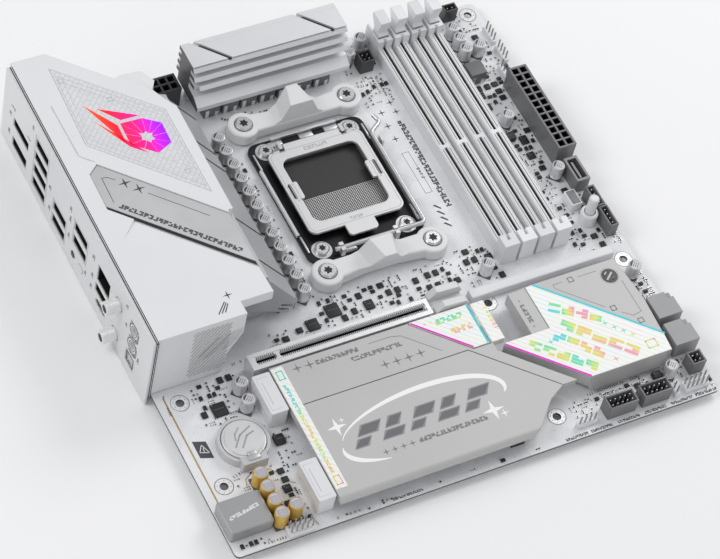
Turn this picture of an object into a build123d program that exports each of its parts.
from build123d import *
import os

os.makedirs("parts", exist_ok=True)

# A micro-ATX motherboard. Millimetres. Origin: centre of the datum mounting hole on the
# underside of the board. +X runs away from the rear connectors, +Y towards the CPU power edge.

# ---- driving dimensions ----
BOARD = 243.84          # square board side
BOARD_T = 1.6
DATUM_X = 10.16         # datum hole from the rear edge
DATUM_Y = 34.29         # datum hole from the front edge
HOLE_R = 1.98           # mounting hole radius
MOUNT_HOLES = [(10.16, 34.29), (10.16, 80.01), (33.02, 237.49), (165.10, 237.49),
               (237.49, 237.49), (165.10, 80.01), (237.49, 80.01), (165.10, 13.97)]

SOCKET_X, SOCKET_Y = 127.0, 162.2     # centre of the CPU socket
COOLER_DX, COOLER_DY = 27.0, 45.0     # half of the cooler hole spacings
SCREW_DX, SCREW_DY = 21.9, 30.0       # half of the socket screw spacings

PLATE_X = -3.2          # outer face of the rear plate
PLATE_T = 0.8
PLATE_Y0, PLATE_Y1 = 87.4, 249.9
PLATE_Z0, PLATE_Z1 = -4.4, 41.1

SHROUD_TOP = 41.0
SHROUD_WALL = 2.2
COVER_TOP = 10.5        # top of the M.2 covers and of the chipset heatsink

DIMM_X = [184.5, 193.8, 203.1, 212.4]
DIMM_Y0, DIMM_Y1 = 97.0, 239.6
LATCH_PIVOT_Y, LATCH_PIVOT_Z = 234.0, 3.4

GAP = 0.3               # running clearance between pieces that move

BASE = (Align.CENTER, Align.CENTER, Align.MIN)
CORNER = (Align.MIN, Align.MIN, Align.MIN)


def level(z):
    """Plane parallel to the board: local X, Y from its rear front corner, z above its top face."""
    return Plane(origin=(-DATUM_X, -DATUM_Y, BOARD_T + z))


def at(x, y, z=0.0):
    """The same plane, moved to x, y on the board."""
    return Plane(origin=(x - DATUM_X, y - DATUM_Y, BOARD_T + z))


def facing_front(y):
    """Upright plane at board y: local X is board x, local Y is height. Extrudes towards -Y."""
    return Plane(origin=(-DATUM_X, y - DATUM_Y, BOARD_T), x_dir=(1, 0, 0), z_dir=(0, -1, 0))


def facing_right(x):
    """Upright plane at board x: local X is board y, local Y is height. Extrudes towards +X."""
    return Plane(origin=(x - DATUM_X, -DATUM_Y, BOARD_T), x_dir=(0, 1, 0), z_dir=(1, 0, 0))


# ---- circuit board: one rectangle of laminate with drilled holes ----
cooler_holes = [(SOCKET_X + i * COOLER_DX, SOCKET_Y + j * COOLER_DY) for i in (-1, 1) for j in (-1, 1)]
socket_holes = [(SOCKET_X + i * SCREW_DX, SOCKET_Y + j * SCREW_DY) for i in (-1, 1) for j in (-1, 1)]
HEATSINK_SCREWS = [(50.0, 117.0), (50.0, 170.0), (50.0, 216.0), (86.4, 236.0), (156.2, 236.0),
                   (196.0, 62.0), (222.0, 34.0), (190.0, 30.0)]
POST_R = 2.6            # backplate posts that the cooler screws go into
SOCKET_SCREW_R = 1.5
SMALL_SCREW_R = 1.25
SINK_SCREW_BITE = 2.6   # how far a heatsink screw runs into the heatsink

with BuildPart() as circuit_board:
    with BuildSketch(level(-BOARD_T)):
        RectangleRounded(BOARD, BOARD, 2.5, align=(Align.MIN, Align.MIN))
        with Locations(*MOUNT_HOLES):
            Circle(HOLE_R, mode=Mode.SUBTRACT)
        with Locations(*cooler_holes):
            Circle(POST_R + 0.1, mode=Mode.SUBTRACT)
        with Locations(*socket_holes):
            Circle(SOCKET_SCREW_R + 0.1, mode=Mode.SUBTRACT)
        with Locations(*HEATSINK_SCREWS):
            Circle(SMALL_SCREW_R + 0.1, mode=Mode.SUBTRACT)
    extrude(amount=BOARD_T)
circuit_board.part.label = "circuit_board"
export_step(circuit_board.part, "parts/circuit_board.step")

# ---- rear connectors: board y and height of each opening's centre ----
USB_W, USB_H = 12.8, 4.9          # clear opening of one USB-A shell
SHELL_T = 0.5
USB_STACKS = [                    # board y, heights of the openings, top of the housing
    (206.9, (3.4, 12.3, 21.2, 30.1), 33.4),
    (184.2, (3.4, 12.3), 15.8),
    (162.3, (15.0, 24.1), 27.6),
]
USB_STACK_BASE = {162.3: 11.4}    # the stack that stands above the two buttons
LAN_Y = 137.0
LAN_OPENING = (12.0, 9.8, 22.2)   # width, height, centre height
LAN_USB_A_Z, LAN_USB_C_Z = 11.3, 3.4
USB_C_W, USB_C_H = 9.0, 3.2
DISPLAY_Y = 229.2
DP_Z, HDMI_Z = 17.0, 3.9
DP_W, DP_H = 16.1, 4.8
HDMI_W, HDMI_H = 15.0, 5.4
ANTENNA_Y, ANTENNA_Z, ANTENNA_R = 121.4, (4.6, 26.2), 3.2
AUDIO_Y, AUDIO_Z, AUDIO_R = 105.6, (15.8, 26.5), 4.2
OPTICAL_Z, OPTICAL_SIDE = 5.4, 8.6
BUTTON_Z = 4.0
BIOS_BUTTON_Y, CLEAR_BUTTON_Y = 159.0, 167.6
BIOS_BUTTON_R, CLEAR_BUTTON_R = 2.2, 1.7
BUTTON_TRAVEL = 0.8

# stamped steel plate with an opening for each connector and a rim that stiffens its edge
RIM = 2.0
with BuildPart() as io_plate:
    with BuildSketch(facing_right(PLATE_X)):
        with Locations(((PLATE_Y0 + PLATE_Y1) / 2, (PLATE_Z0 + PLATE_Z1) / 2)):
            RectangleRounded(PLATE_Y1 - PLATE_Y0, PLATE_Z1 - PLATE_Z0, 0.8)
        for stack_y, heights, _top in USB_STACKS:
            with Locations(*[(stack_y, z) for z in heights]):
                Rectangle(USB_W + 2 * SHELL_T + 0.3, USB_H + 2 * SHELL_T + 0.3, mode=Mode.SUBTRACT)
        with Locations((LAN_Y, LAN_OPENING[2])):
            Rectangle(LAN_OPENING[0] + 2 * SHELL_T + 0.3, LAN_OPENING[1] + 2 * SHELL_T + 0.3,
                      mode=Mode.SUBTRACT)
        with Locations((LAN_Y, LAN_USB_A_Z)):
            Rectangle(USB_W + 2 * SHELL_T + 0.3, USB_H + 2 * SHELL_T + 0.3, mode=Mode.SUBTRACT)
        with Locations((LAN_Y, LAN_USB_C_Z)):
            SlotOverall(USB_C_W + 1.3, USB_C_H + 1.3, mode=Mode.SUBTRACT)
        with Locations((DISPLAY_Y, DP_Z)):
            Rectangle(DP_W + 1.3, DP_H + 1.3, mode=Mode.SUBTRACT)
        with Locations((DISPLAY_Y, HDMI_Z)):
            Rectangle(HDMI_W + 1.3, HDMI_H + 1.3, mode=Mode.SUBTRACT)
        with Locations(*[(ANTENNA_Y, z) for z in ANTENNA_Z]):
            Circle(ANTENNA_R + 0.4, mode=Mode.SUBTRACT)
        with Locations(*[(AUDIO_Y, z) for z in AUDIO_Z]):
            Circle(AUDIO_R + 0.2, mode=Mode.SUBTRACT)
        with Locations((AUDIO_Y, OPTICAL_Z)):
            Rectangle(OPTICAL_SIDE + 0.4, OPTICAL_SIDE + 0.4, mode=Mode.SUBTRACT)
        with Locations((BIOS_BUTTON_Y, BUTTON_Z)):
            Circle(BIOS_BUTTON_R + GAP, mode=Mode.SUBTRACT)
        with Locations((CLEAR_BUTTON_Y, BUTTON_Z)):
            Circle(CLEAR_BUTTON_R + GAP, mode=Mode.SUBTRACT)
    extrude(amount=PLATE_T)
    with BuildSketch(facing_right(PLATE_X + PLATE_T)):
        with Locations(((PLATE_Y0 + PLATE_Y1) / 2, (PLATE_Z0 + PLATE_Z1) / 2)):
            RectangleRounded(PLATE_Y1 - PLATE_Y0 - 0.6, PLATE_Z1 - PLATE_Z0 - 0.6, 0.8)
            Rectangle(PLATE_Y1 - PLATE_Y0 - 2 * RIM, PLATE_Z1 - PLATE_Z0 - 2 * RIM, mode=Mode.SUBTRACT)
        with Locations((125.0, PLATE_Z0)):
            Rectangle(300.0, 2 * (0.2 - PLATE_Z0), mode=Mode.SUBTRACT)
    extrude(amount=1.6)
io_plate.part.label = "io_plate"
export_step(io_plate.part, "parts/io_plate.step")

HOUSING_X = PLATE_X + PLATE_T + 0.2     # connector housings start just behind the plate
NOSE_X = PLATE_X + 0.1                  # their shells reach through it
PORT_DEPTH = 10.0


def port_stack(y, openings, z0, z1, width, depth):
    """A connector housing with a shell, a cavity and a tongue for each (width, height, z) opening."""
    with BuildPart() as stack:
        with Locations(at(HOUSING_X, y, z0)):
            Box(depth, width, z1 - z0, align=(Align.MIN, Align.CENTER, Align.MIN))
        for clear_w, clear_h, z in openings:
            with BuildSketch(facing_right(NOSE_X)):
                with Locations((y, z)):
                    RectangleRounded(clear_w + 2 * SHELL_T, clear_h + 2 * SHELL_T, 0.5)
            extrude(amount=HOUSING_X - NOSE_X + 0.1)
        for clear_w, clear_h, z in openings:
            with BuildSketch(facing_right(NOSE_X)):
                with Locations((y, z)):
                    RectangleRounded(clear_w, clear_h, 0.4)
            extrude(amount=PORT_DEPTH, mode=Mode.SUBTRACT)
            with Locations(at(NOSE_X + 1.4, y, z + 0.1 * clear_h)):
                Box(PORT_DEPTH - 1.0, clear_w - 2.4, 0.28 * clear_h,
                    align=(Align.MIN, Align.CENTER, Align.MIN))
    return stack.part


usb_stacks = [port_stack(y, [(USB_W, USB_H, z) for z in heights], USB_STACK_BASE.get(y, 0.1), top, 15.0, 17.0)
              for y, heights, top in USB_STACKS]
with BuildPart() as usb_ports:
    add(usb_stacks)
    # legs of the raised stack, behind the button switches
    with Locations(at(10.6, 162.3, 0.1)):
        Box(4.2, 15.0, 11.6, align=(Align.MIN, Align.CENTER, Align.MIN))
usb_ports.part.label = "usb_ports"
export_step(usb_ports.part, "parts/usb_ports.step")

display_stack = port_stack(DISPLAY_Y, [(DP_W, DP_H, DP_Z), (HDMI_W, HDMI_H, HDMI_Z)], 0.1, 21.0, 18.6, 15.0)
with BuildPart() as display_ports:
    add(display_stack)
display_ports.part.label = "display_ports"
export_step(display_ports.part, "parts/display_ports.step")

# network jack above one USB-A and one USB-C opening, in one housing
with BuildPart() as lan_port:
    with Locations(at(HOUSING_X, LAN_Y, 0.1)):
        Box(20.0, 16.4, 28.8, align=(Align.MIN, Align.CENTER, Align.MIN))
    with BuildSketch(facing_right(NOSE_X)):
        with Locations((LAN_Y, LAN_OPENING[2])):
            RectangleRounded(LAN_OPENING[0] + 2 * SHELL_T, LAN_OPENING[1] + 2 * SHELL_T, 0.5)
        with Locations((LAN_Y, LAN_USB_A_Z)):
            RectangleRounded(USB_W + 2 * SHELL_T, USB_H + 2 * SHELL_T, 0.5)
        with Locations((LAN_Y, LAN_USB_C_Z)):
            SlotOverall(USB_C_W + 1.0, USB_C_H + 1.0)
    extrude(amount=HOUSING_X - NOSE_X + 0.1)
    with BuildSketch(facing_right(NOSE_X)):
        with Locations((LAN_Y, LAN_OPENING[2])):
            Rectangle(LAN_OPENING[0], LAN_OPENING[1])
    extrude(amount=14.0, mode=Mode.SUBTRACT)
    with BuildSketch(facing_right(NOSE_X)):
        with Locations((LAN_Y, LAN_USB_A_Z)):
            RectangleRounded(USB_W, USB_H, 0.4)
        with Locations((LAN_Y, LAN_USB_C_Z)):
            SlotOverall(USB_C_W, USB_C_H)
    extrude(amount=PORT_DEPTH, mode=Mode.SUBTRACT)
    with Locations(at(NOSE_X + 1.4, LAN_Y, LAN_USB_A_Z + 0.5)):
        Box(PORT_DEPTH - 1.0, USB_W - 2.4, 1.4, align=(Align.MIN, Align.CENTER, Align.MIN))
    with Locations(at(NOSE_X + 1.0, LAN_Y, LAN_USB_C_Z - 0.35)):
        Box(PORT_DEPTH - 0.6, USB_C_W - 2.4, 0.7, align=(Align.MIN, Align.CENTER, Align.MIN))
lan_port.part.label = "lan_port"
export_step(lan_port.part, "parts/lan_port.step")

# two threaded antenna jacks that stand out of the plate
ANTENNA_REACH = 7.0
with BuildPart() as antenna_jacks:
    for z in ANTENNA_Z:
        with BuildSketch(facing_right(PLATE_X - ANTENNA_REACH)):
            with Locations((ANTENNA_Y, z)):
                Circle(ANTENNA_R)
                Circle(ANTENNA_R - 0.9, mode=Mode.SUBTRACT)
        extrude(amount=ANTENNA_REACH + 3.0)
        with BuildSketch(facing_right(PLATE_X - ANTENNA_REACH + 1.5)):
            with Locations((ANTENNA_Y, z)):
                Circle(ANTENNA_R - 0.8)
                Circle(0.6, mode=Mode.SUBTRACT)
        extrude(amount=ANTENNA_REACH)
        with BuildSketch(facing_right(HOUSING_X)):
            with Locations((ANTENNA_Y, z)):
                Rectangle(8.0, 8.0)
        extrude(amount=9.0)
antenna_jacks.part.label = "antenna_jacks"
export_step(antenna_jacks.part, "parts/antenna_jacks.step")

# two audio jacks over one optical port, in one housing
with BuildPart() as audio_jacks:
    with Locations(at(HOUSING_X, AUDIO_Y, 0.1)):
        Box(14.0, 13.0, 31.5, align=(Align.MIN, Align.CENTER, Align.MIN))
    with BuildSketch(facing_right(NOSE_X)):
        with Locations(*[(AUDIO_Y, z) for z in AUDIO_Z]):
            Circle(AUDIO_R)
        with Locations((AUDIO_Y, OPTICAL_Z)):
            Rectangle(OPTICAL_SIDE, OPTICAL_SIDE)
    extrude(amount=HOUSING_X - NOSE_X + 0.1)
    with BuildSketch(facing_right(NOSE_X)):
        with Locations(*[(AUDIO_Y, z) for z in AUDIO_Z]):
            Circle(1.8)
    extrude(amount=12.0, mode=Mode.SUBTRACT)
    with BuildSketch(facing_right(NOSE_X)):
        with Locations((AUDIO_Y, OPTICAL_Z)):
            Rectangle(OPTICAL_SIDE - 1.6, OPTICAL_SIDE - 2.0)
    extrude(amount=0.7, mode=Mode.SUBTRACT)
audio_jacks.part.label = "audio_jacks"
export_step(audio_jacks.part, "parts/audio_jacks.step")

# two push buttons in the plate, each with a flange that keeps it in, and the switches behind them
BUTTON_REAR = 4.0


def rear_button(y, radius):
    """A button whose face stands 0.2 mm out of the plate, with its flange behind the plate."""
    with BuildPart() as button:
        with BuildSketch(facing_right(PLATE_X - 0.2)):
            with Locations((y, BUTTON_Z)):
                Circle(radius)
        extrude(amount=BUTTON_REAR - PLATE_X + 0.2)
        with BuildSketch(facing_right(HOUSING_X + 0.1)):
            with Locations((y, BUTTON_Z)):
                Circle(radius + 0.9)
        extrude(amount=1.0)
    return button.part


bios_cap = rear_button(BIOS_BUTTON_Y, BIOS_BUTTON_R)
with BuildPart() as bios_button:
    add(bios_cap)
bios_button.part.label = "bios_button"
export_step(bios_button.part, "parts/bios_button.step")

clear_cap = rear_button(CLEAR_BUTTON_Y, CLEAR_BUTTON_R)
with BuildPart() as clear_button:
    add(clear_cap)
clear_button.part.label = "clear_button"
export_step(clear_button.part, "parts/clear_button.step")

with BuildPart() as button_switches:
    for y in (BIOS_BUTTON_Y, CLEAR_BUTTON_Y):
        with Locations(at(BUTTON_REAR + BUTTON_TRAVEL + GAP, y, 0.1)):
            Box(5.0, 6.6, 7.2, align=(Align.MIN, Align.CENTER, Align.MIN))
button_switches.part.label = "button_switches"
export_step(button_switches.part, "parts/button_switches.step")

# ---- rear shroud: a thin moulded cover over the connectors and the heatsink behind them ----
# Its bands and facets run at 45 degrees, so each diagonal line is x + y = a constant.
SHROUD_OUTLINE = [(-0.7, 88.8), (41.5, 88.8), (41.5, 95.6), (57.4, 95.6), (57.4, 142.6), (59.8, 142.6),
                  (60.4, 203.9), (56.5, 210.5), (53.6, 216.7), (45.7, 227.0), (39.7, 228.1),
                  (15.9, 251.5), (-0.7, 251.5)]
BAND_UPPER, BAND_LOWER = 198.4, 168.0     # x + y of the printed band's long edges
FACET_TOP, STRIPE_FRONT = 150.6, 166.0    # x + y where the facet leaves the top, and where it ends
BAND_Z = 39.7
WINDOW = [(14.2, 243.0), (54.7, 204.0), (54.9, 154.1), (12.6, 196.6)]
WINDOW_DEPTH = 1.0
RIB_LINES = 9

with BuildPart() as io_shroud:
    with BuildSketch(level(SHROUD_TOP - SHROUD_WALL)):
        with BuildLine():
            Polyline(*SHROUD_OUTLINE, close=True)
        make_face()
    extrude(amount=SHROUD_WALL)
    with BuildSketch(level(35.2)) as lip:
        with BuildLine():
            Polyline(*SHROUD_OUTLINE, close=True)
        make_face()
        offset(amount=-SHROUD_WALL, kind=Kind.INTERSECTION, mode=Mode.SUBTRACT)
    extrude(amount=SHROUD_TOP - 35.2)
    with BuildSketch(facing_front(88.8)):
        with BuildLine():
            Polyline((-0.7, 0.3), (34.0, 0.3), (35.5, 14.0), (41.5, 27.0), (41.5, SHROUD_TOP),
                     (-0.7, SHROUD_TOP), close=True)
        make_face()
    extrude(amount=-SHROUD_WALL)
    with BuildSketch(facing_right(41.5 - SHROUD_WALL)):
        with BuildLine():
            Polyline((88.8, 27.0), (88.8, 36.0), (99.0, 36.0), (99.0, 31.0), (95.0, 27.0), close=True)
        make_face()
    extrude(amount=SHROUD_WALL)
    with BuildSketch(level(0.3)):
        with BuildLine():
            Polyline((-0.7, 249.3), (15.0, 249.3), (37.0, 227.6), (39.7, 228.1), (15.9, 251.5),
                     (-0.7, 251.5), close=True)
        make_face()
    extrude(amount=36.0)
    # the white block that fills the corner beside the CPU power connector
    with BuildSketch(level(23.0)):
        with BuildLine():
            Polyline((38.0, 220.0), (56.0, 220.0), (60.0, 226.0), (56.0, 233.0), (46.0, 234.0), (38.0, 230.0),
                     close=True)
        make_face()
    extrude(amount=11.0)
    # recess for the printed band
    with BuildSketch(level(BAND_Z)):
        with BuildLine():
            Polyline((12.9, BAND_UPPER - 12.9), (60.0, BAND_UPPER - 60.0), (60.0, BAND_LOWER - 60.0),
                     (7.2, BAND_LOWER - 7.2), (7.6, 181.2), close=True)
        make_face()
    extrude(amount=SHROUD_TOP - BAND_Z, mode=Mode.SUBTRACT)
    # recess for the translucent window
    with BuildSketch(level(SHROUD_TOP - WINDOW_DEPTH)):
        with BuildLine():
            Polyline(*WINDOW, close=True)
        make_face()
    extrude(amount=WINDOW_DEPTH, mode=Mode.SUBTRACT)
    # facet that slopes down from the top to the black stripe
    facet_plane = Plane(origin=(7.4 - DATUM_X, 143.2 - DATUM_Y, BOARD_T + SHROUD_TOP), x_dir=(1, -1, 0),
                        z_dir=(0.07, 0.07, 1.0))
    with BuildSketch(facet_plane):
        with Locations((0.0, 0.0)):
            Rectangle(80.0, (BAND_LOWER - FACET_TOP) / 2 ** 0.5, align=(Align.MIN, Align.MIN))
    extrude(amount=6.0, mode=Mode.SUBTRACT)
    # shallow joint line on the top, and slanted ribs on the front wall
    with BuildSketch(level(SHROUD_TOP - 0.4)):
        with BuildLine() as joint:
            Polyline((6.8, 222.2), (7.2, 192.1), (12.4, 186.9))
        trace(joint.line, line_width=0.5)
    extrude(amount=0.4, mode=Mode.SUBTRACT)
    with BuildSketch(facing_front(88.8)) as ribs:
        for i in range(RIB_LINES):
            with Locations((23.0 + 2.1 * i, 20.5 + 0.6 * i)):
                Rectangle(21.0 - 0.7 * i, 0.6, rotation=52)
        with BuildLine():
            Polyline((19.0, 6.0), (34.0, 6.0), (35.4, 16.0), (41.0, 28.0), (41.0, 38.2), (24.0, 38.2),
                     close=True)
        make_face(mode=Mode.INTERSECT)
    extrude(amount=-0.7, mode=Mode.SUBTRACT)
io_shroud.part.label = "io_shroud"
export_step(io_shroud.part, "parts/io_shroud.step")

with BuildPart() as shroud_window:
    with BuildSketch(level(SHROUD_TOP - WINDOW_DEPTH)):
        with BuildLine():
            Polyline(*WINDOW, close=True)
        make_face()
        offset(amount=-0.12, kind=Kind.INTERSECTION, mode=Mode.REPLACE)
    extrude(amount=WINDOW_DEPTH)
shroud_window.part.label = "shroud_window"
export_step(shroud_window.part, "parts/shroud_window.step")

STRIPE_W = 1.6
with BuildPart() as shroud_band:
    with BuildSketch(level(BAND_Z)):
        with BuildLine():
            Polyline((13.0, BAND_UPPER - 0.4 - 13.0), (57.2, BAND_UPPER - 0.4 - 57.2),
                     (57.2, BAND_LOWER + 2.4 - 57.2), (7.5, BAND_LOWER + 2.4 - 7.5), (7.9, 180.9), close=True)
        make_face()
    extrude(amount=0.8)
shroud_band.part.label = "shroud_band"
export_step(shroud_band.part, "parts/shroud_band.step")

with BuildPart() as shroud_stripe:
    with BuildSketch(level(BAND_Z)):
        with BuildLine():
            Polyline((7.5, BAND_LOWER + 2.2 - 7.5), (57.2, BAND_LOWER + 2.2 - 57.2),
                     (57.2, BAND_LOWER + 0.1 - 57.2), (7.5, BAND_LOWER + 0.1 - 7.5), close=True)
        make_face()
    extrude(amount=0.5)
shroud_stripe.part.label = "shroud_stripe"
export_step(shroud_stripe.part, "parts/shroud_stripe.step")

# ---- VRM heatsinks: aluminium extrusions with cut grooves ----
REAR_SINK_Y0, REAR_SINK_Y1 = 102.0, 219.0
REAR_SINK_PROFILE = [(44.0, 9.0), (72.5, 9.0), (76.2, 16.0), (75.4, 18.2), (61.0, 33.0), (61.0, 35.0),
                     (44.0, 35.0)]
GROOVE_YAW = -20.0

with BuildPart() as groove_cutter:
    with BuildSketch(facing_front(REAR_SINK_Y1)):
        with BuildLine():
            Polyline((77.0, 16.4), (60.2, 33.8), (59.4, 32.8), (75.8, 15.6), close=True)
        make_face()
    extrude(amount=REAR_SINK_Y1 - REAR_SINK_Y0)

with BuildPart() as groove_bars:
    with Locations(*[at(68.0, y, 24.0) for y in (212.0, 190.5, 180.0, 141.5, 117.0)]):
        Box(30.0, 1.2, 40.0, rotation=(0, 0, GROOVE_YAW))
    add(groove_cutter.part, mode=Mode.INTERSECT)

with BuildPart() as vrm_heatsink_rear:
    with BuildSketch(facing_front(REAR_SINK_Y1)):
        with BuildLine():
            Polyline(*REAR_SINK_PROFILE, close=True)
        make_face()
        with Locations((74.0, 11.2), (75.0, 14.0)):
            Rectangle(12.0, 1.3, mode=Mode.SUBTRACT)
    extrude(amount=REAR_SINK_Y1 - REAR_SINK_Y0)
    add(groove_bars.part, mode=Mode.SUBTRACT)
    # the near end is cut on a slant, and so is the far end
    for y, side in ((REAR_SINK_Y0, Align.MAX), (REAR_SINK_Y1, Align.MIN)):
        with Locations(at(61.0, y + (4.5 if side == Align.MAX else -3.0), 22.0)):
            Box(60.0, 30.0, 60.0, rotation=(0, 0, GROOVE_YAW), align=(Align.CENTER, side, Align.CENTER),
                mode=Mode.SUBTRACT)
    # foot that presses on the power stages, and bosses for the screws
    with Locations(at(60.0, 161.5, 2.2)):
        Box(9.0, 104.0, 6.9, align=BASE)
    with BuildSketch(level(0.0)):
        with Locations(*HEATSINK_SCREWS[0:3]):
            Circle(3.0)
    extrude(amount=9.1)
    with BuildSketch(level(0.0)):
        with Locations(*HEATSINK_SCREWS[0:3]):
            Circle(SMALL_SCREW_R)
    extrude(amount=SINK_SCREW_BITE + 0.2, mode=Mode.SUBTRACT)
vrm_heatsink_rear.part.label = "vrm_heatsink_rear"
export_step(vrm_heatsink_rear.part, "parts/vrm_heatsink_rear.step")

TOP_SINK_X0, TOP_SINK_X1 = 81.5, 161.5
TOP_FINS = [(27.6, 227.6), (23.2, 225.6), (18.8, 223.6)]    # height and front edge of each fin
with BuildPart() as vrm_heatsink_top:
    with BuildSketch(facing_right(TOP_SINK_X0)):
        with BuildLine():
            Polyline((219.8, 9.0), (241.5, 9.0), (241.5, 30.4), (229.2, 30.4), (231.0, 28.8), (231.0, 15.2),
                     (224.5, 14.4), (219.8, 11.6), close=True)
        make_face()
        for z, front in TOP_FINS:
            with BuildLine():
                Polyline((front, z), (front + 1.4, z + 1.9), (232.0, z + 1.9), (232.0, z), close=True)
            make_face()
        with Locations((242.6, 29.2), (242.6, 24.6), (242.6, 20.0), (242.6, 15.4)):
            Rectangle(2.6, 2.2)
    extrude(amount=TOP_SINK_X1 - TOP_SINK_X0)
    with Locations(*[at(x, 235.6, 28.7) for x in (95.0, 148.5)]):
        Box(1.8, 26.0, 8.0, rotation=(0, 0, 43), align=BASE, mode=Mode.SUBTRACT)
    with Locations(at(TOP_SINK_X0 - 1.0, 217.0, 15.0)):
        Box(3.4, 8.8, 20.0, align=CORNER, mode=Mode.SUBTRACT)
    with Locations(at(121.5, 234.6, 2.2)):
        Box(60.0, 7.4, 6.9, align=BASE)
    with BuildSketch(level(0.0)):
        with Locations(*HEATSINK_SCREWS[3:5]):
            Circle(3.0)
    extrude(amount=9.1)
    with BuildSketch(level(0.0)):
        with Locations(*HEATSINK_SCREWS[3:5]):
            Circle(SMALL_SCREW_R)
    extrude(amount=SINK_SCREW_BITE + 0.2, mode=Mode.SUBTRACT)
vrm_heatsink_top.part.label = "vrm_heatsink_top"
export_step(vrm_heatsink_top.part, "parts/vrm_heatsink_top.step")

# power stages in two rows under the heatsinks, soft pads between, chokes beside them
with BuildPart() as power_stages:
    with Locations(*[at(60.0, 114.0 + 11.4 * i) for i in range(9)], *[at(92.8 + 9.5 * i, 233.0) for i in range(7)]):
        Box(5.0, 6.0, 1.0, align=BASE)
power_stages.part.label = "power_stages"
export_step(power_stages.part, "parts/power_stages.step")

with BuildPart() as thermal_pads:
    with Locations(at(60.0, 159.6, 1.0)):
        Box(8.0, 100.0, 1.2, align=BASE)
    with Locations(at(121.5, 234.0, 1.0)):
        Box(59.0, 6.0, 1.2, align=BASE)
thermal_pads.part.label = "thermal_pads"
export_step(thermal_pads.part, "parts/thermal_pads.step")

CHOKE_SIDE, CHOKE_H = 8.6, 7.6
REAR_CHOKES = [(75.6, 112.5 + 11.0 * i) for i in range(9)]
TOP_CHOKES = [(91.0 + 9.6 * i, 225.6) for i in range(7)]
with BuildPart() as chokes:
    with Locations(*[at(x, y) for x, y in REAR_CHOKES + TOP_CHOKES + [(221.4, 201.2)]]):
        Box(CHOKE_SIDE, CHOKE_SIDE, CHOKE_H, align=BASE)
chokes.part.label = "chokes"
export_step(chokes.part, "parts/chokes.step")

# ---- capacitors: round cans with a pressed groove above the base ----
CAP_R, CAP_H = 3.1, 8.4
CAP_COLUMN = [(85.5, 203.8 - 8.34 * i) for i in range(12)]
CAP_LONE = [(176.3, 236.6), (166.8, 230.4), (222.6, 227.6), (222.8, 220.7), (222.6, 213.7),
            (230.2, 213.7), (222.6, 170.3), (230.6, 134.4), (171.9, 95.6), (236.4, 70.6), (224.6, 15.6),
            (37.2, 76.4), (36.2, 66.9)]


def can_capacitor(radius, height):
    """One round can with a groove rolled in above its base and a softened top edge."""
    with BuildPart() as can:
        Cylinder(radius, height, align=BASE)
        with Locations((0, 0, 1.4)):
            Torus(radius + 0.25, 0.55, mode=Mode.SUBTRACT)
        chamfer(can.faces().sort_by(Axis.Z)[-1].edges(), 0.35)
    return can.part


can = can_capacitor(CAP_R, CAP_H)
with BuildPart() as capacitors:
    with Locations(*[at(x, y) for x, y in CAP_COLUMN + CAP_LONE]):
        add(can)
capacitors.part.label = "capacitors"
export_step(capacitors.part, "parts/capacitors.step")

audio_can = can_capacitor(3.3, 9.6)
with BuildPart() as audio_capacitors:
    with Locations(*[at(x, y) for x, y in ((24.6, 30.2), (24.6, 23.1), (24.6, 16.0), (24.6, 8.9), (32.2, 10.6))]):
        add(audio_can)
audio_capacitors.part.label = "audio_capacitors"
export_step(audio_capacitors.part, "parts/audio_capacitors.step")

# ---- CPU socket ----
CONTACT_Z = 2.6
WINDOW_W = 38.0
SOCKET_SIDE = 44.0
with BuildPart() as socket_body:
    with BuildSketch(level(0.0)):
        with Locations((SOCKET_X, SOCKET_Y + 1.0)):
            RectangleRounded(SOCKET_SIDE, SOCKET_SIDE, 2.0)
    extrude(amount=4.6)
    with BuildSketch(level(CONTACT_Z - 0.8)):
        with Locations((SOCKET_X, SOCKET_Y + 1.0)):
            Rectangle(40.2, 40.2)
    extrude(amount=4.0, mode=Mode.SUBTRACT)
socket_body.part.label = "socket_body"
export_step(socket_body.part, "parts/socket_body.step")

with BuildPart() as socket_contacts:
    with Locations(at(SOCKET_X, SOCKET_Y + 1.0, CONTACT_Z - 0.8)):
        Box(40.0, 40.0, 0.8, align=BASE)
socket_contacts.part.label = "socket_contacts"
export_step(socket_contacts.part, "parts/socket_contacts.step")

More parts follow.
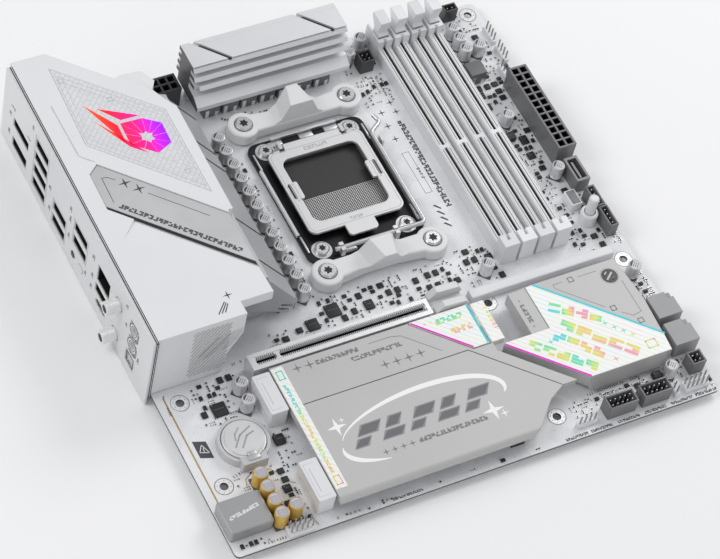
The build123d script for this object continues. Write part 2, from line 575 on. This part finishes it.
# stamped steel frame round the socket, held by four screws, with hinge and hook tabs
FRAME_W, FRAME_L = 60.0, 72.0
PLATE_HINGE_Y, PLATE_HINGE_Z = SOCKET_Y + 28.4, 5.0
LEVER_Y, LEVER_Z, LEVER_R = SOCKET_Y - 34.0, 5.4, 1.1
LEVER_X = SOCKET_X + 29.2
with BuildPart() as socket_frame:
    with BuildSketch(level(0.6)):
        with Locations((SOCKET_X, SOCKET_Y)):
            RectangleRounded(FRAME_W, FRAME_L, 5.0)
        with Locations((SOCKET_X, SOCKET_Y + 1.0)):
            RectangleRounded(SOCKET_SIDE + 1.0, SOCKET_SIDE + 1.0, 2.0, mode=Mode.SUBTRACT)
        with Locations(*socket_holes):
            Circle(SOCKET_SCREW_R + 0.1, mode=Mode.SUBTRACT)
    extrude(amount=1.4)
    with BuildSketch(level(0.6)):
        with Locations((SOCKET_X - FRAME_W / 2 + 0.7, SOCKET_Y), (SOCKET_X + FRAME_W / 2 - 0.7, SOCKET_Y)):
            Rectangle(1.4, 40.0)
        with Locations((SOCKET_X, SOCKET_Y + FRAME_L / 2 - 0.7)):
            Rectangle(34.0, 1.4)
    extrude(amount=3.2)
    # two hinge ears for the load plate and two ears that hold the lever
    with BuildSketch(facing_right(SOCKET_X - 17.0)) as ear:
        with Locations((PLATE_HINGE_Y, PLATE_HINGE_Z - 1.2)):
            Rectangle(4.6, 6.4)
        with Locations((PLATE_HINGE_Y, PLATE_HINGE_Z)):
            Circle(1.25, mode=Mode.SUBTRACT)
    extrude(amount=1.6)
    with BuildSketch(facing_right(SOCKET_X + 15.4)):
        with Locations((PLATE_HINGE_Y, PLATE_HINGE_Z - 1.2)):
            Rectangle(4.6, 6.4)
        with Locations((PLATE_HINGE_Y, PLATE_HINGE_Z)):
            Circle(1.25, mode=Mode.SUBTRACT)
    extrude(amount=1.6)
    for x in (SOCKET_X - 15.0, SOCKET_X + 13.0):
        with BuildSketch(facing_right(x)):
            with Locations((LEVER_Y, 3.8)):
                Rectangle(4.6, 6.0)
            with Locations((LEVER_Y, LEVER_Z)):
                Circle(LEVER_R + 0.35, mode=Mode.SUBTRACT)
        extrude(amount=2.0)
    # upright tab that the closed lever snaps behind
    with BuildSketch(facing_front(SOCKET_Y + 18.0)):
        with BuildLine():
            Polyline((SOCKET_X + 28.0, 0.6), (SOCKET_X + 32.0, 0.6), (SOCKET_X + 32.0, 7.4),
                     (SOCKET_X + 30.8, 7.4), (SOCKET_X + 30.8, 2.0), (SOCKET_X + 28.0, 2.0), close=True)
        make_face()
    extrude(amount=4.0)
socket_frame.part.label = "socket_frame"
export_step(socket_frame.part, "parts/socket_frame.step")

# load plate: a pressed plate with a window, resting on the socket and hinged at its far edge
LOAD_Z = 5.2
with BuildPart() as load_plate:
    with BuildSketch(level(LOAD_Z)):
        with Locations((SOCKET_X, SOCKET_Y + 1.2)):
            RectangleRounded(49.0, 49.6, 4.0)
        with Locations((SOCKET_X, SOCKET_Y - 24.8)):
            RectangleRounded(15.0, 10.0, 2.0)
        with Locations((SOCKET_X, SOCKET_Y + 1.2)):
            RectangleRounded(WINDOW_W + 1.4, WINDOW_W, 4.5, mode=Mode.SUBTRACT)
        with Locations((SOCKET_X - 22.0, SOCKET_Y + 2.0), (SOCKET_X + 22.0, SOCKET_Y + 2.0)):
            SlotOverall(9.0, 1.6, rotation=90, mode=Mode.SUBTRACT)
        with Locations(*socket_holes):
            Circle(4.6, mode=Mode.SUBTRACT)
        with Locations((SOCKET_X - 16.2, PLATE_HINGE_Y - 1.8), (SOCKET_X + 16.2, PLATE_HINGE_Y - 1.8)):
            Rectangle(2.8, 4.0, mode=Mode.SUBTRACT)
    extrude(amount=1.3)
    with BuildSketch(level(LOAD_Z)):
        with Locations((SOCKET_X - 18.9, SOCKET_Y + 2.0), (SOCKET_X + 18.9, SOCKET_Y + 2.0)):
            RectangleRounded(2.4, 10.0, 1.0)
    extrude(amount=1.3)
    with Locations(at(SOCKET_X, PLATE_HINGE_Y, PLATE_HINGE_Z)):
        Cylinder(0.9, 33.6, rotation=(0, 90, 0))
    with Locations(at(SOCKET_X, PLATE_HINGE_Y - 1.4, PLATE_HINGE_Z)):
        Box(29.0, 3.4, 1.5, align=(Align.CENTER, Align.CENTER, Align.MIN))
load_plate.part.label = "load_plate"
export_step(load_plate.part, "parts/load_plate.step")

# lever: one bent wire, with a cranked middle beside the plate's tongue and a turned-out handle
lever_route = [(SOCKET_X - 17.0, LEVER_Y), (LEVER_X, LEVER_Y), (LEVER_X, SOCKET_Y + 22.0),
               (LEVER_X + 6.6, SOCKET_Y + 26.4), (LEVER_X + 5.4, SOCKET_Y + 31.0)]
with BuildPart() as socket_lever:
    with BuildLine(level(LEVER_Z)) as wire:
        FilletPolyline(*lever_route, radius=2.2)
    with BuildSketch(facing_right(SOCKET_X - 17.0)):
        with Locations((LEVER_Y, LEVER_Z)):
            Circle(LEVER_R)
    sweep(path=wire.line)
socket_lever.part.label = "socket_lever"
export_step(socket_lever.part, "parts/socket_lever.step")


def torx_screw(head_r, head_h, shank_r, shank_l):
    """A round-headed screw with a six-lobed recess, its head standing on z = 0."""
    with BuildPart() as screw:
        Cylinder(head_r, head_h, align=BASE)
        chamfer(screw.faces().sort_by(Axis.Z)[-1].edges(), 0.3 * head_h)
        with Locations((0, 0, -shank_l)):
            Cylinder(shank_r, shank_l, align=BASE)
        with BuildSketch(Plane.XY.offset(head_h)):
            Circle(0.36 * head_r)
            with PolarLocations(0.38 * head_r, 6):
                Circle(0.13 * head_r)
        extrude(amount=-0.6 * head_h, mode=Mode.SUBTRACT)
    return screw.part


socket_screw = torx_screw(3.4, 1.9, SOCKET_SCREW_R, 2.0 + BOARD_T + 1.6)
with BuildPart() as socket_screws:
    with Locations(*[at(x, y, 2.0) for x, y in socket_holes]):
        add(socket_screw)
socket_screws.part.label = "socket_screws"
export_step(socket_screws.part, "parts/socket_screws.step")

# steel backplate under the board, with four threaded posts for the cooler screws
BACKPLATE_T = 2.0
with BuildPart() as socket_backplate:
    with BuildSketch(level(-BOARD_T - BACKPLATE_T)):
        with Locations((SOCKET_X, SOCKET_Y)):
            RectangleRounded(66.0, 102.0, 6.0)
            RectangleRounded(30.0, 34.0, 4.0, mode=Mode.SUBTRACT)
        with Locations(*socket_holes):
            Circle(SOCKET_SCREW_R, mode=Mode.SUBTRACT)
    extrude(amount=BACKPLATE_T)
    with BuildSketch(level(-BOARD_T)):
        with Locations(*cooler_holes):
            Circle(POST_R)
    extrude(amount=BOARD_T + 1.2)
    with BuildSketch(level(-BOARD_T - BACKPLATE_T)):
        with Locations(*cooler_holes):
            Circle(1.55)
    extrude(amount=BACKPLATE_T + BOARD_T + 1.2, mode=Mode.SUBTRACT)
socket_backplate.part.label = "socket_backplate"
export_step(socket_backplate.part, "parts/socket_backplate.step")

# moulded cooler brackets: a bar on two round feet that rises to a lug for the cooler's clip;
# height, half width on the socket side, half width outside, reach inwards, reach outwards
BRACKET_HILL = [(6.0, 15.0, 15.0, 5.2, 3.2), (9.0, 9.5, 8.0, 4.8, 5.4), (17.0, 5.6, 2.8, 4.0, 7.6)]


def cooler_bracket(outward):
    """One bracket; outward is +1 for the one towards the CPU power edge, -1 for the other."""
    foot_y = SOCKET_Y + outward * COOLER_DY
    with BuildPart() as bracket:
        with BuildSketch(level(1.2)):
            with Locations((SOCKET_X - COOLER_DX, foot_y), (SOCKET_X + COOLER_DX, foot_y)):
                Circle(7.6)
            with BuildLine():
                Polyline((SOCKET_X - 27.0, foot_y + outward * 5.6), (SOCKET_X - 8.0, foot_y + outward * 3.4),
                         (SOCKET_X + 8.0, foot_y + outward * 3.4), (SOCKET_X + 27.0, foot_y + outward * 5.6),
                         (SOCKET_X + 27.0, foot_y - outward * 5.4), (SOCKET_X - 27.0, foot_y - outward * 5.4),
                         close=True)
            make_face()
            with Locations(*cooler_holes):
                Circle(1.9, mode=Mode.SUBTRACT)
        extrude(amount=6.2)
        fillet(bracket.faces().sort_by(Axis.Z)[-1].outer_wire().edges(), 1.2)
        for low, high in zip(BRACKET_HILL, BRACKET_HILL[1:]):
            for z, inner, outer, near, far in (low, high):
                with BuildSketch(level(z)):
                    with BuildLine():
                        Polyline((SOCKET_X - inner, foot_y - outward * near), (SOCKET_X + inner, foot_y - outward * near),
                                 (SOCKET_X + outer, foot_y + outward * far), (SOCKET_X - outer, foot_y + outward * far),
                                 close=True)
                    make_face()
            loft(ruled=True)
        with BuildSketch(level(1.2)):
            with Locations(*cooler_holes):
                Circle(POST_R + 0.1)
        extrude(amount=0.2, mode=Mode.SUBTRACT)
        with BuildSketch(level(6.2)):
            with Locations(*cooler_holes):
                Circle(4.5)
        extrude(amount=1.4, mode=Mode.SUBTRACT)
    return bracket.part


upper_bracket = cooler_bracket(1)
with BuildPart() as cooler_bracket_upper:
    add(upper_bracket)
cooler_bracket_upper.part.label = "cooler_bracket_upper"
export_step(cooler_bracket_upper.part, "parts/cooler_bracket_upper.step")

lower_bracket = cooler_bracket(-1)
with BuildPart() as cooler_bracket_lower:
    add(lower_bracket)
cooler_bracket_lower.part.label = "cooler_bracket_lower"
export_step(cooler_bracket_lower.part, "parts/cooler_bracket_lower.step")

bracket_screw = torx_screw(4.1, 2.3, 1.5, 6.2)
with BuildPart() as bracket_screws:
    with Locations(*[at(x, y, 6.2) for x, y in cooler_holes]):
        add(bracket_screw)
bracket_screws.part.label = "bracket_screws"
export_step(bracket_screws.part, "parts/bracket_screws.step")

# ---- memory slots: a long body, a fixed end, and a forked tower that holds the latch ----
SLOT_W, SLOT_H = 6.6, 7.4
TOWER_W = 7.8
LATCH_W = 5.2
FORK_W = LATCH_W + 2 * GAP


def memory_slot(x):
    """One memory socket centred on board x, with its contact groove, key and latch fork."""
    with BuildPart() as slot:
        with Locations(at(x - SLOT_W / 2, DIMM_Y0, 0.1)):
            Box(SLOT_W, DIMM_Y1 - DIMM_Y0 - 10.0, SLOT_H, align=CORNER)
        with Locations(at(x - TOWER_W / 2, DIMM_Y0, 0.1)):
            Box(TOWER_W, 7.0, 13.6, align=CORNER)
        with Locations(at(x - TOWER_W / 2, 227.0, 0.1)):
            Box(TOWER_W, DIMM_Y1 - 227.0, 12.4, align=CORNER)
        with Locations(at(x - 0.8, DIMM_Y0 + 3.6, 2.0)):
            Box(1.6, 62.0, 20.0, align=CORNER, mode=Mode.SUBTRACT)
        with Locations(at(x - 0.8, DIMM_Y0 + 67.4, 2.0)):
            Box(1.6, 64.0, 20.0, align=CORNER, mode=Mode.SUBTRACT)
        with Locations(at(x - FORK_W / 2, 229.2, 0.8)):
            Box(FORK_W, 20.0, 20.0, align=CORNER, mode=Mode.SUBTRACT)
        with Locations(at(x, LATCH_PIVOT_Y, LATCH_PIVOT_Z)):
            Cylinder(1.2, TOWER_W + 1.0, rotation=(0, 90, 0), mode=Mode.SUBTRACT)
    return slot.part


slot_solids = [memory_slot(x) for x in DIMM_X]
with BuildPart() as memory_slots:
    add(slot_solids)
memory_slots.part.label = "memory_slots"
export_step(memory_slots.part, "parts/memory_slots.step")


def memory_latch(x):
    """One latch: a thin lever with a hook at the slot and a broad thumb pad on top."""
    with BuildPart() as latch:
        with BuildSketch(facing_right(x - LATCH_W / 2)):
            with BuildLine():
                Polyline((231.6, 3.4), (230.2, 10.6), (229.6, 13.6), (231.4, 15.0), (230.0, 20.4), (230.0, 22.2),
                         (238.6, 22.2), (238.9, 20.6), (235.4, 15.0), (236.4, 3.4), close=True)
            make_face()
            with Locations((LATCH_PIVOT_Y, LATCH_PIVOT_Z)):
                Circle(2.2)
        extrude(amount=LATCH_W)
        with Locations(at(x - 0.8, 229.0, 5.0)):
            Box(1.6, 3.0, 7.0, align=CORNER, mode=Mode.SUBTRACT)
        with Locations(at(x, LATCH_PIVOT_Y, LATCH_PIVOT_Z)):
            Cylinder(0.9, TOWER_W - 0.4, rotation=(0, 90, 0))
    return latch.part


for index, slot_x in enumerate(DIMM_X, start=1):
    latch_solid = memory_latch(slot_x)
    with BuildPart() as latch_part:
        add(latch_solid)
    latch_part.part.label = f"memory_latch_{index}"
    export_step(latch_part.part, f"parts/memory_latch_{index}.step")

# ---- expansion slot with a metal shell and a latch that tips down ----
SLOT_X0, SLOT_X1 = 43.6, 133.4
SLOT_Y0, SLOT_Y1 = 77.6, 86.2
SLOT_TOP = 11.2
SKIN = 0.4
PCIE_PIVOT_X, PCIE_PIVOT_Z = 138.0, 3.2
PCIE_KEY_X = 57.4
PCIE_LATCH_Y = 83.6      # middle of the latch's two wings
with BuildPart() as pcie_slot:
    with Locations(at(SLOT_X0 + SKIN, SLOT_Y0 + SKIN, 0.1)):
        Box(SLOT_X1 - SLOT_X0 - 2 * SKIN, SLOT_Y1 - SLOT_Y0 - 2 * SKIN, SLOT_TOP - 0.4, align=CORNER)
    slot_mid = (SLOT_Y0 + SLOT_Y1) / 2
    with Locations(at(SLOT_X0 + 3.0, slot_mid, 2.4)):
        Box(PCIE_KEY_X - SLOT_X0 - 3.8, 2.0, 12.0, align=(Align.MIN, Align.CENTER, Align.MIN), mode=Mode.SUBTRACT)
    with Locations(at(PCIE_KEY_X + 0.8, slot_mid, 2.4)):
        Box(SLOT_X1 - PCIE_KEY_X - 3.4, 2.0, 12.0, align=(Align.MIN, Align.CENTER, Align.MIN),
            mode=Mode.SUBTRACT)
    # two cheeks that carry the latch
    with Locations(at(SLOT_X1 - 0.6, PCIE_LATCH_Y - 7.0, 0.1), at(SLOT_X1 - 0.6, PCIE_LATCH_Y + 6.2, 0.1)):
        Box(7.4, 0.8, 5.6, align=CORNER)
    with Locations(at(SLOT_X1 - 0.6, PCIE_LATCH_Y - 7.0, 0.1)):
        Box(0.9, 14.0, 5.6, align=CORNER)
    with Locations(at(PCIE_PIVOT_X, PCIE_LATCH_Y, PCIE_PIVOT_Z)):
        Cylinder(1.1, 20.0, rotation=(90, 0, 0), mode=Mode.SUBTRACT)
pcie_slot.part.label = "pcie_slot"
export_step(pcie_slot.part, "parts/pcie_slot.step")

with BuildPart() as pcie_shell:
    with Locations(at(SLOT_X0, SLOT_Y0, 0.5)):
        Box(SLOT_X1 - SLOT_X0, SLOT_Y1 - SLOT_Y0, SLOT_TOP - 0.5, align=CORNER)
    with Locations(at(SLOT_X0 + SKIN, SLOT_Y0 + SKIN, 0.0)):
        Box(SLOT_X1 - SLOT_X0 - 2 * SKIN, SLOT_Y1 - SLOT_Y0 - 2 * SKIN, SLOT_TOP - 0.3, align=CORNER,
            mode=Mode.SUBTRACT)
    with Locations(at(SLOT_X0 + 2.4, slot_mid, SLOT_TOP - 1.0)):
        Box(SLOT_X1 - SLOT_X0 - 4.4, 4.4, 2.0, align=(Align.MIN, Align.CENTER, Align.MIN), mode=Mode.SUBTRACT)
    with Locations(at(SLOT_X1 - 1.0, PCIE_LATCH_Y, 0.0)):
        Box(3.0, 14.6, 6.0, align=(Align.MIN, Align.CENTER, Align.MIN), mode=Mode.SUBTRACT)
pcie_shell.part.label = "pcie_shell"
export_step(pcie_shell.part, "parts/pcie_shell.step")

with BuildPart() as pcie_latch:
    with BuildSketch(facing_front(PCIE_LATCH_Y + 5.8)) as wings:
        with BuildLine():
            Polyline((135.2, 2.6), (138.2, 1.0), (150.6, 6.2), (152.4, 9.2), (150.4, 12.0), (139.0, 13.0),
                     (135.4, 9.0), close=True)
        make_face()
    extrude(amount=11.6)
    with Locations(at(134.0, PCIE_LATCH_Y, 7.6)):
        Box(20.0, 4.6, 8.0, align=(Align.MIN, Align.CENTER, Align.MIN), mode=Mode.SUBTRACT)
    with Locations(at(PCIE_PIVOT_X, PCIE_LATCH_Y, PCIE_PIVOT_Z)):
        Cylinder(0.8, 13.4, rotation=(90, 0, 0))
pcie_latch.part.label = "pcie_latch"
export_step(pcie_latch.part, "parts/pcie_latch.step")

# ---- M.2 covers and the chipset heatsink: flat plates cut along 45-degree lines ----
COVER_Z0 = 7.0
LOWER_COVER = [(50.4, 4.2), (146.4, 4.2), (151.2, 7.0), (156.2, 12.2), (162.0, 18.0), (170.4, 22.6),
               (138.7, 54.2), (57.0, 54.2), (57.0, 54.2), (50.4, 54.2)]
UPPER_COVER = [(50.4, 54.6), (139.0, 54.6), (170.8, 22.8), (178.2, 22.8), (151.4, 49.6), (151.4, 54.0),
               (141.4, 54.0), (119.6, 75.8), (119.6, 76.8), (50.4, 76.8)]
SMALL_COVER = [(120.2, 76.8), (120.2, 76.0), (141.8, 54.6), (150.0, 54.6), (150.0, 76.8)]
TAB = [(151.4, 54.4), (157.8, 54.4), (157.8, 76.4), (151.4, 76.4)]
SINK_TOP = [(170.4, 75.2), (183.6, 76.2), (227.2, 76.2), (229.4, 51.6), (227.6, 21.8), (184.8, 21.8),
            (155.8, 50.8), (156.4, 52.0), (170.4, 52.0)]

with BuildPart() as m2_cover_lower:
    with BuildSketch(level(COVER_Z0)):
        with BuildLine():
            Polyline(*LOWER_COVER[:7], (50.4, 54.2), close=True)
        make_face()
    extrude(amount=COVER_TOP - COVER_Z0)
    front_top = m2_cover_lower.faces().sort_by(Axis.Z)[-1].edges().sort_by(Axis.Y)[0]
    fillet(front_top, 2.6)
    # posts that stand on the board and take the cover screws
    with Locations(at(147.8, 31.0, 0.1), at(60.0, 40.0, 0.1)):
        Cylinder(2.4, COVER_Z0, align=BASE)
m2_cover_lower.part.label = "m2_cover_lower"
export_step(m2_cover_lower.part, "parts/m2_cover_lower.step")

with BuildPart() as m2_cover_upper:
    with BuildSketch(level(COVER_Z0)):
        with BuildLine():
            Polyline(*UPPER_COVER, close=True)
        make_face()
    extrude(amount=COVER_TOP - COVER_Z0)
    with Locations(at(150.0, 50.6, 0.1), at(60.0, 70.0, 0.1)):
        Cylinder(2.0, COVER_Z0, align=BASE)
m2_cover_upper.part.label = "m2_cover_upper"
export_step(m2_cover_upper.part, "parts/m2_cover_upper.step")

with BuildPart() as m2_cover_small:
    with BuildSketch(level(COVER_Z0)):
        with BuildLine():
            Polyline(*SMALL_COVER, close=True)
        make_face()
        with BuildLine():
            Polyline(*TAB, close=True)
        make_face()
    extrude(amount=COVER_TOP - COVER_Z0 + 0.2)
    with Locations(at(148.0, 65.0, COVER_Z0)):
        Box(8.0, 6.0, 2.0, align=CORNER)
    with Locations(at(154.6, 65.0, 0.1), at(147.2, 72.0, 0.1)):
        Cylinder(2.0, COVER_Z0, align=BASE)
m2_cover_small.part.label = "m2_cover_small"
export_step(m2_cover_small.part, "parts/m2_cover_small.step")

with BuildPart() as chipset_heatsink:
    with BuildSketch(level(3.0)):
        with BuildLine():
            Polyline(*SINK_TOP, close=True)
        make_face()
    extrude(amount=COVER_TOP - 3.0)
    # the front edge leans out towards the board
    with BuildSketch(facing_right(184.8)):
        with BuildLine():
            Polyline((21.8, 3.0), (21.8, COVER_TOP), (19.2, 3.0), close=True)
        make_face()
    extrude(amount=40.0)
    with BuildSketch(level(0.0)):
        with Locations(*HEATSINK_SCREWS[5:8]):
            Circle(3.0)
    extrude(amount=3.2)
    with BuildSketch(level(0.0)):
        with Locations(*HEATSINK_SCREWS[5:8]):
            Circle(SMALL_SCREW_R)
    extrude(amount=SINK_SCREW_BITE + 0.2, mode=Mode.SUBTRACT)
    with BuildSketch(level(COVER_TOP - 0.4)):
        with BuildLine() as seam:
            Polyline((179.6, 75.6), (179.6, 52.0))
        trace(seam.line, line_width=0.4)
    extrude(amount=0.4, mode=Mode.SUBTRACT)
chipset_heatsink.part.label = "chipset_heatsink"
export_step(chipset_heatsink.part, "parts/chipset_heatsink.step")

with BuildPart() as chipset:
    with Locations(at(204.0, 48.0)):
        Box(22.0, 22.0, 1.4, align=BASE)
    with Locations(at(204.0, 48.0, 1.4)):
        Box(10.0, 9.0, 1.6, align=BASE)
chipset.part.label = "chipset"
export_step(chipset.part, "parts/chipset.step")

with BuildPart() as trim_rail:
    with Locations(at(157.4, 82.4, 0.1)):
        Box(75.4, 5.0, 4.2, align=CORNER)
    fillet(trim_rail.edges().filter_by(Axis.X).group_by(Axis.Z)[-1], 0.8)
trim_rail.part.label = "trim_rail"
export_step(trim_rail.part, "parts/trim_rail.step")

# white end clips that hold the covers' rear edge, one for each M.2 bay
BAY_Y = (64.8, 17.6)
with BuildPart() as m2_end_clips:
    with BuildSketch(level(0.1)):
        with Locations(*[(45.4, y) for y in BAY_Y]):
            RectangleRounded(8.4, 21.2, 0.8)
    extrude(amount=10.6)
    with Locations(*[at(41.0, y - 8.0, 3.0) for y in BAY_Y]):
        Box(1.0, 15.0, 0.9, align=CORNER, mode=Mode.SUBTRACT)
m2_end_clips.part.label = "m2_end_clips"
export_step(m2_end_clips.part, "parts/m2_end_clips.step")

with BuildPart() as m2_sockets:
    for y, x in zip(BAY_Y, (137.6, 137.6)):
        with Locations(at(x, y - 11.0, 0.1)):
            Box(6.6, 22.0, 4.2, align=CORNER)
        with Locations(at(x - 1.0, y - 9.6, 2.0)):
            Box(5.0, 19.2, 1.1, align=CORNER, mode=Mode.SUBTRACT)
m2_sockets.part.label = "m2_sockets"
export_step(m2_sockets.part, "parts/m2_sockets.step")

# turning latch on a post that holds the free end of a drive in the front bay
M2_LATCH_X, M2_LATCH_Y = 58.6, BAY_Y[1]
with BuildPart() as m2_drive_latch:
    with Locations(at(M2_LATCH_X, M2_LATCH_Y, 0.4)):
        Cylinder(2.6, 2.6, align=BASE)
    with Locations(at(M2_LATCH_X, M2_LATCH_Y, 3.0)):
        Box(8.0, 2.6, 1.2, align=(Align.MIN, Align.CENTER, Align.MIN))
        Cylinder(2.6, 1.2, align=BASE)
m2_drive_latch.part.label = "m2_drive_latch"
export_step(m2_drive_latch.part, "parts/m2_drive_latch.step")

# ---- power, storage and front panel connectors ----
CELL = 4.2


def power_header(x, y, nx, ny, height, clip_side):
    """A power connector body with nx by ny square cells, and a clip rib on one side."""
    with BuildPart() as header:
        with Locations(at(x, y, 0.1)):
            Box(nx * CELL + 1.2, ny * CELL + 1.2, height, align=BASE)
        with Locations(at(x, y, 4.0)):
            with GridLocations(CELL, CELL, nx, ny):
                Box(3.3, 3.3, height, align=BASE, mode=Mode.SUBTRACT)
        with Locations(at(x, y, 3.6)):
            with GridLocations(CELL, CELL, nx, ny):
                Box(0.7, 0.7, 6.4, align=BASE)
        with Locations(at(x + clip_side[0], y + clip_side[1], 5.0)):
            Box(1.6 if clip_side[0] else 4.4, 4.4 if clip_side[0] else 1.6, 5.0, align=BASE)
    return header.part


atx_solid = power_header(237.6, 165.8, 2, 12, 13.0, (5.2, 0.0))
with BuildPart() as atx_power:
    add(atx_solid)
atx_power.part.label = "atx_power"
export_step(atx_power.part, "parts/atx_power.step")

cpu_power_solid = power_header(70.4, 237.4, 4, 2, 13.0, (0.0, 5.2))
with BuildPart() as cpu_power:
    add(cpu_power_solid)
cpu_power.part.label = "cpu_power"
export_step(cpu_power.part, "parts/cpu_power.step")

with BuildPart() as sata_ports:
    for y in (45.2, 29.4):
        with Locations(at(231.0, y, 0.3)):
            Box(12.4, 12.6, 9.6, align=(Align.MIN, Align.CENTER, Align.MIN))
        with Locations(at(235.0, y, 4.2)):
            Box(10.0, 9.0, 1.6, align=(Align.MIN, Align.CENTER, Align.MIN), mode=Mode.SUBTRACT)
        with Locations(at(235.0, y - 3.9, 2.6)):
            Box(10.0, 1.4, 1.8, align=(Align.MIN, Align.CENTER, Align.MIN), mode=Mode.SUBTRACT)
        with Locations(at(240.4, y + 4.6, 8.0)):
            Box(4.0, 3.6, 4.0, align=(Align.MIN, Align.CENTER, Align.MIN), mode=Mode.SUBTRACT)
sata_ports.part.label = "sata_ports"
export_step(sata_ports.part, "parts/sata_ports.step")

with BuildPart() as usb_c_header:
    with Locations(at(237.6, 129.4, 0.1)):
        Box(7.0, 14.4, 8.8, align=BASE)
    with Locations(at(237.6, 129.4, 3.4)):
        Box(4.8, 11.6, 8.0, align=BASE, mode=Mode.SUBTRACT)
    with Locations(at(237.6, 129.4, 3.0)):
        Box(1.2, 9.6, 4.6, align=BASE)
usb_c_header.part.label = "usb_c_header"
export_step(usb_c_header.part, "parts/usb_c_header.step")

# pin headers: a plastic strip with square pins, some inside an open box
PITCH = 2.54
PIN_HEADERS = [                    # board x, y, columns along x, rows along y, boxed
    (31.6, 3.0, 5, 2, False), (175.6, 5.6, 4, 1, False), (193.2, 7.6, 5, 2, True), (211.2, 7.6, 5, 2, True),
    (222.4, 6.0, 1, 2, False), (233.2, 6.2, 5, 2, False), (237.4, 15.4, 2, 2, True), (226.6, 239.0, 2, 1, True), (241.0, 221.4, 1, 4, False),
    (241.0, 209.0, 1, 4, False), (236.6, 197.4, 1, 4, False), (173.2, 224.8, 2, 2, True), (238.5, 112.6, 1, 4, True),
    (238.7, 100.0, 1, 4, True)]
with BuildPart() as pin_headers:
    for x, y, nx, ny, boxed in PIN_HEADERS:
        with Locations(at(x, y, 0.1)):
            if boxed:
                Box(nx * PITCH + 2.0, ny * PITCH + 2.0, 8.4, align=BASE)
        with Locations(at(x, y, 2.4)):
            if boxed:
                Box(nx * PITCH + 0.4, ny * PITCH + 0.4, 8.0, align=BASE, mode=Mode.SUBTRACT)
        with Locations(at(x, y, 0.1)):
            if not boxed:
                Box(nx * PITCH, ny * PITCH, 2.5, align=BASE)
            with GridLocations(PITCH, PITCH, nx, ny):
                Box(0.64, 0.64, 8.0, align=BASE)
    with Locations(at(229.8, 117.2, 0.1)):
        Box(5.6, 9.0, 5.0, align=BASE)
pin_headers.part.label = "pin_headers"
export_step(pin_headers.part, "parts/pin_headers.step")

# start button: a round cap that slides in a collar
START_X, START_Y = 231.8, 105.6
START_TRAVEL = 1.0
with BuildPart() as start_button_base:
    with Locations(at(START_X, START_Y, 0.1)):
        Cylinder(4.2, 7.6, align=BASE)
    with Locations(at(START_X, START_Y, 2.0)):
        Cylinder(2.8, 8.0, align=BASE, mode=Mode.SUBTRACT)
    chamfer(start_button_base.faces().sort_by(Axis.Z)[-1].outer_wire().edges(), 0.8)
start_button_base.part.label = "start_button_base"
export_step(start_button_base.part, "parts/start_button_base.step")

with BuildPart() as start_button:
    with Locations(at(START_X, START_Y, 2.0 + START_TRAVEL + GAP)):
        Cylinder(2.4, 14.6, align=BASE)
    fillet(start_button.faces().sort_by(Axis.Z)[-1].edges(), 0.9)
start_button.part.label = "start_button"
export_step(start_button.part, "parts/start_button.step")

# coin cell lying in its holder
BATTERY_X, BATTERY_Y = 26.6, 50.6
with BuildPart() as battery_holder:
    with Locations(at(BATTERY_X, BATTERY_Y, 0.1)):
        Cylinder(11.8, 4.4, align=BASE)
        with Locations((0.0, -9.0, 0.0)):
            Box(12.0, 8.0, 5.6, align=BASE)
    with Locations(at(BATTERY_X, BATTERY_Y, 1.6)):
        Cylinder(10.3, 8.0, align=BASE, mode=Mode.SUBTRACT)
battery_holder.part.label = "battery_holder"
export_step(battery_holder.part, "parts/battery_holder.step")

with BuildPart() as coin_cell:
    with Locations(at(BATTERY_X, BATTERY_Y, 1.8)):
        Cylinder(10.0, 3.2, align=BASE)
    fillet(coin_cell.faces().sort_by(Axis.Z)[-1].edges(), 0.5)
    with Locations(at(BATTERY_X, BATTERY_Y, 5.0)):
        Cylinder(8.6, 0.3, align=BASE)
coin_cell.part.label = "coin_cell"
export_step(coin_cell.part, "parts/coin_cell.step")

# ---- audio shield and integrated circuits ----
with BuildPart() as audio_shield:
    with Locations(at(0.6, 7.8, 0.1)):
        Box(20.2, 16.6, 6.9, align=CORNER)
    fillet(audio_shield.edges().filter_by(Axis.Z), 0.8)
    fillet(audio_shield.faces().sort_by(Axis.Z)[-1].edges(), 0.5)
audio_shield.part.label = "audio_shield"
export_step(audio_shield.part, "parts/audio_shield.step")

CHIPS = [                          # board x, y, size along x, size along y, thickness
    (24.8, 70.6, 7.0, 7.0, 0.9), (42.6, 47.0, 5.0, 5.2, 1.6), (35.2, 23.4, 4.0, 4.0, 0.8),
    (95.5, 101.0, 7.0, 7.0, 0.9), (83.5, 97.0, 6.0, 6.0, 0.9), (112.5, 98.0, 4.6, 5.0, 1.2),
    (219.4, 189.3, 4.0, 4.0, 0.9), (219.2, 181.9, 4.0, 4.0, 0.9), (226.4, 158.4, 4.0, 5.0, 0.9),
    (225.2, 148.8, 4.0, 4.0, 0.9), (233.6, 62.4, 3.4, 3.0, 1.2), (233.6, 57.0, 3.4, 3.0, 1.2),
    (218.6, 16.4, 4.4, 3.6, 2.8), (177.5, 103.0, 3.6, 3.6, 1.0), (220.4, 161.6, 4.6, 4.6, 2.8)]
with BuildPart() as integrated_circuits:
    for x, y, sx, sy, thick in CHIPS:
        with Locations(at(x, y, 0.1)):
            Box(sx, sy, thick, align=BASE)
integrated_circuits.part.label = "integrated_circuits"
export_step(integrated_circuits.part, "parts/integrated_circuits.step")

# screws from the underside that pull the heatsinks down
sink_screw = torx_screw(2.6, 1.4, SMALL_SCREW_R, BOARD_T + SINK_SCREW_BITE)
with BuildPart() as heatsink_screws:
    with Locations(*[Location((x - DATUM_X, y - DATUM_Y, 0.0), (180, 0, 0)) for x, y in HEATSINK_SCREWS]):
        add(sink_screw)
heatsink_screws.part.label = "heatsink_screws"
export_step(heatsink_screws.part, "parts/heatsink_screws.step")
